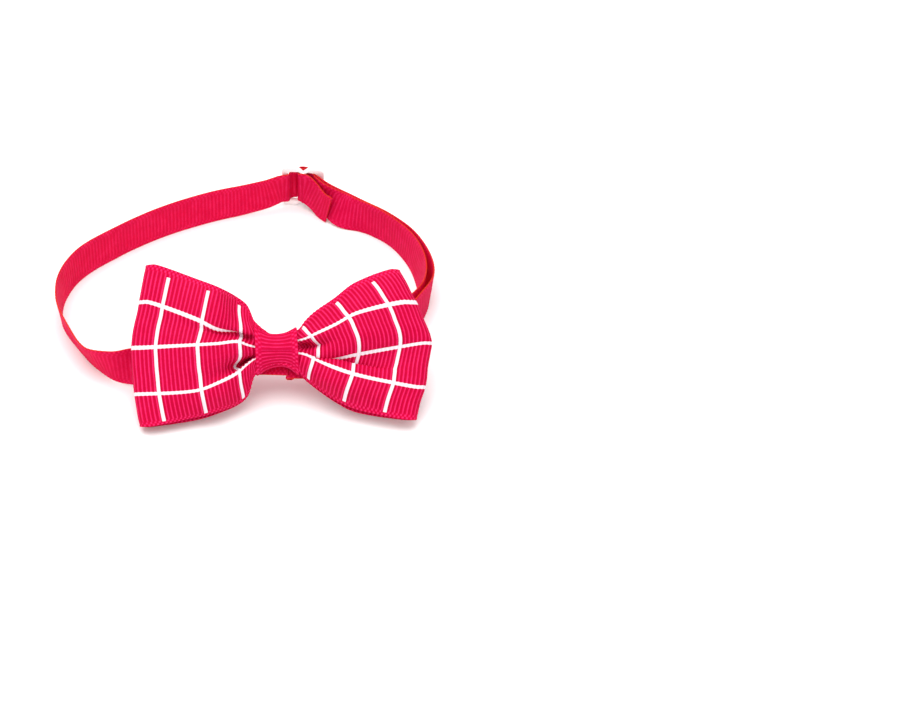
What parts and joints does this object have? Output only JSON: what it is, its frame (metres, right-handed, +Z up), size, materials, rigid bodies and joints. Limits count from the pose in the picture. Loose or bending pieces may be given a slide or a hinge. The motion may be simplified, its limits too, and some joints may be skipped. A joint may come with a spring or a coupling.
{
  "type": "pet bow tie on an adjustable neck strap",
  "caption": "Ribbon bow tie with hollow looped wings and a wrapped knot, on a narrow ribbon neck strap that doubles back through a moulded slide and lies in an open oval.",
  "frame": {"origin": "bottom centre of the bounding box, on the surface the object lies on", "axes": "+Z up. The bow is at the -Y end and faces -Y and up; +X is to the right of someone facing it. The slide is at the +Y end, to the right of the middle"},
  "size_m": [0.092, 0.085, 0.0285],
  "materials": {
    "bow_ribbon": "ribbed woven polyester with a printed grid of thin white lines",
    "knot_band": "ribbed woven polyester",
    "neck_strap": "ribbed woven polyester",
    "slider": "satin moulded"
  },
  "bodies": {
    "root": {"bow_ribbon": "bow_ribbon", "knot_band": "knot_band", "neck_strap": "neck_strap", "slider": "slider"}
  },
  "joints": []
}
